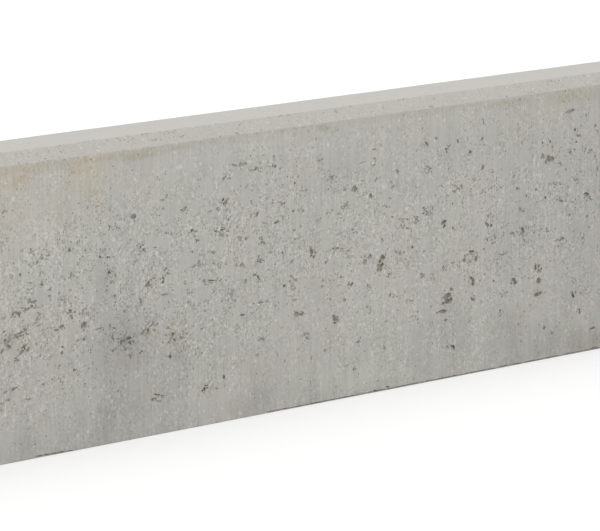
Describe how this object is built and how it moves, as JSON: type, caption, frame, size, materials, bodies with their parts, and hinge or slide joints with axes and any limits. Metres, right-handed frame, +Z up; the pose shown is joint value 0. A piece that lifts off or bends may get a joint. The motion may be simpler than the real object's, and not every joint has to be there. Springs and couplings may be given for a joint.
{
  "type": "concrete kerb stone",
  "caption": "Straight concrete edging kerb with square ends and a chamfer along its top front edge, for edging paving and lawns.",
  "frame": {"origin": "middle of the underside, which lies on the bedding", "axes": "+X along the stone from its left end to its right end as seen from the front, +Y from the chamfered front face to the back face, +Z up"},
  "size_m": [1, 0.05, 0.2],
  "materials": {
    "concrete": "dry-cast grey concrete, matt, with drag streaks, small voids and fine sand grain"
  },
  "bodies": {
    "root": {"kerb_stone": "concrete"}
  },
  "joints": []
}
